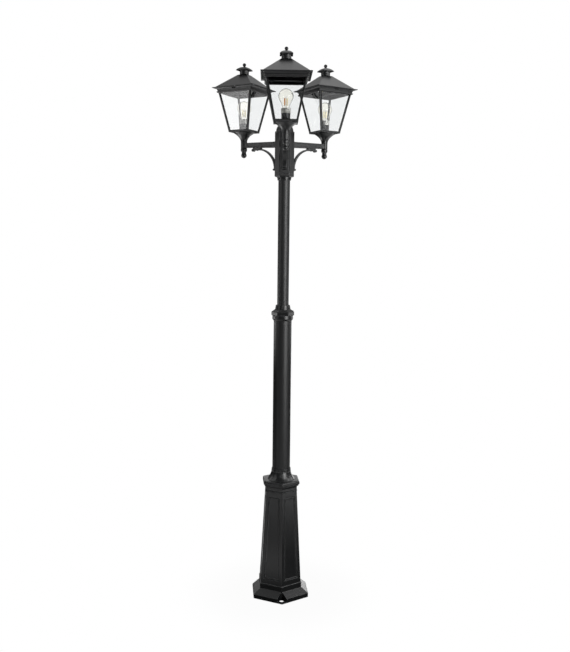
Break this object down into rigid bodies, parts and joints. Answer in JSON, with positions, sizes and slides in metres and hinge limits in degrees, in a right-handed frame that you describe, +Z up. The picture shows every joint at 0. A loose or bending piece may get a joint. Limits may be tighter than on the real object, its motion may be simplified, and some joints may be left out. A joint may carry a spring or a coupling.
{
  "type": "garden lamp post",
  "caption": "Black cast-aluminium garden lamp post with arms and glazed lanterns on a panelled pedestal.",
  "frame": {"origin": "on the post axis at ground level, the centre of the anchor bolt circle", "axes": "+Z up along the post; the front arm points along -Y and the other two 120 degrees either side"},
  "size_m": [0.6276, 0.5435, 2.3285],
  "materials": {
    "black_paint": "satin powder coat",
    "clear_pane": "clear, smooth",
    "bulb_glass": "clear, warm tint",
    "filament_yellow": "matte",
    "brass_fitting": "bright",
    "grey_metal": "satin",
    "dark_steel": "blackened",
    "zinc_steel": "zinc plated",
    "black_plastic": "matte",
    "white_plastic": "matte",
    "cable_rubber": "matte"
  },
  "bodies": {
    "post": {"base_casting": "black_paint", "base_cap": "black_paint", "lower_tube": "black_paint", "flange_screws": "zinc_steel", "mast_collar": "black_paint", "post_grub_screws": "dark_steel", "gear_tray": "zinc_steel", "terminal_block": "white_plastic", "mast_cable": "cable_rubber"},
    "head": {"upper_tube": "black_paint", "hub": "black_paint", "hub_cap": "black_paint", "arm_finials": "black_paint", "hub_cap_screw": "black_paint", "bracket_screws": "black_paint", "strap_screws": "black_paint", "hub_grub_screws": "dark_steel", "hub_bolts": "zinc_steel", "arm_leads": "cable_rubber", "hub_connector": "black_plastic", "lantern_nipples": "brass_fitting", "lampholders": "black_plastic", "holder_rings": "grey_metal", "arm_front": "black_paint", "bracket_front": "black_paint", "cup_front": "black_paint", "lantern_frame_front": "black_paint", "panes_front": "clear_pane", "bridge_front": "black_paint", "arm_right": "black_paint", "bracket_right": "black_paint", "cup_right": "black_paint", "lantern_frame_right": "black_paint", "panes_right": "clear_pane", "bridge_right": "black_paint", "arm_left": "black_paint", "bracket_left": "black_paint", "cup_left": "black_paint", "lantern_frame_left": "black_paint", "panes_left": "clear_pane", "bridge_left": "black_paint"},
    "roof_set_front": {"roof_front": "black_paint", "hat_front": "black_paint"},
    "ball_nut_front": {"ball_finial_front": "black_paint"},
    "lamp_front": {"bulb_front": "bulb_glass", "bulb_cap_front": "brass_fitting", "filament_front": "filament_yellow"},
    "roof_set_right": {"roof_right": "black_paint", "hat_right": "black_paint"},
    "ball_nut_right": {"ball_finial_right": "black_paint"},
    "lamp_right": {"bulb_right": "bulb_glass", "bulb_cap_right": "brass_fitting", "filament_right": "filament_yellow"},
    "roof_set_left": {"roof_left": "black_paint", "hat_left": "black_paint"},
    "ball_nut_left": {"ball_finial_left": "black_paint"},
    "lamp_left": {"bulb_left": "bulb_glass", "bulb_cap_left": "brass_fitting", "filament_left": "filament_yellow"}
  },
  "joints": [
    {"name": "head_turn", "type": "hinge", "parent": "post", "child": "head", "pos_m": [0, 0, 1.291], "axis": [0, 0, 1], "range_deg": [-180, 180]},
    {"name": "roof_lift_front", "type": "slide", "parent": "head", "child": "roof_set_front", "axis": [0, 0, 1], "range_m": [0, 0.125]},
    {"name": "ball_turn_front", "type": "hinge", "parent": "roof_set_front", "child": "ball_nut_front", "pos_m": [0, -0.203, 2.321], "axis": [0, 0, 1], "continuous": true},
    {"name": "bulb_turn_front", "type": "hinge", "parent": "head", "child": "lamp_front", "pos_m": [0, -0.203, 2.09], "axis": [0, 0, 1], "range_deg": [0, 1080]},
    {"name": "roof_lift_right", "type": "slide", "parent": "head", "child": "roof_set_right", "axis": [0, 0, 1], "range_m": [0, 0.125]},
    {"name": "ball_turn_right", "type": "hinge", "parent": "roof_set_right", "child": "ball_nut_right", "pos_m": [0.1758, 0.1015, 2.321], "axis": [0, 0, 1], "continuous": true},
    {"name": "bulb_turn_right", "type": "hinge", "parent": "head", "child": "lamp_right", "pos_m": [0.1758, 0.1015, 2.09], "axis": [0, 0, 1], "range_deg": [0, 1080]},
    {"name": "roof_lift_left", "type": "slide", "parent": "head", "child": "roof_set_left", "axis": [0, 0, 1], "range_m": [0, 0.125]},
    {"name": "ball_turn_left", "type": "hinge", "parent": "roof_set_left", "child": "ball_nut_left", "pos_m": [-0.1758, 0.1015, 2.321], "axis": [0, 0, 1], "continuous": true},
    {"name": "bulb_turn_left", "type": "hinge", "parent": "head", "child": "lamp_left", "pos_m": [-0.1758, 0.1015, 2.09], "axis": [0, 0, 1], "range_deg": [0, 1080]}
  ]
}
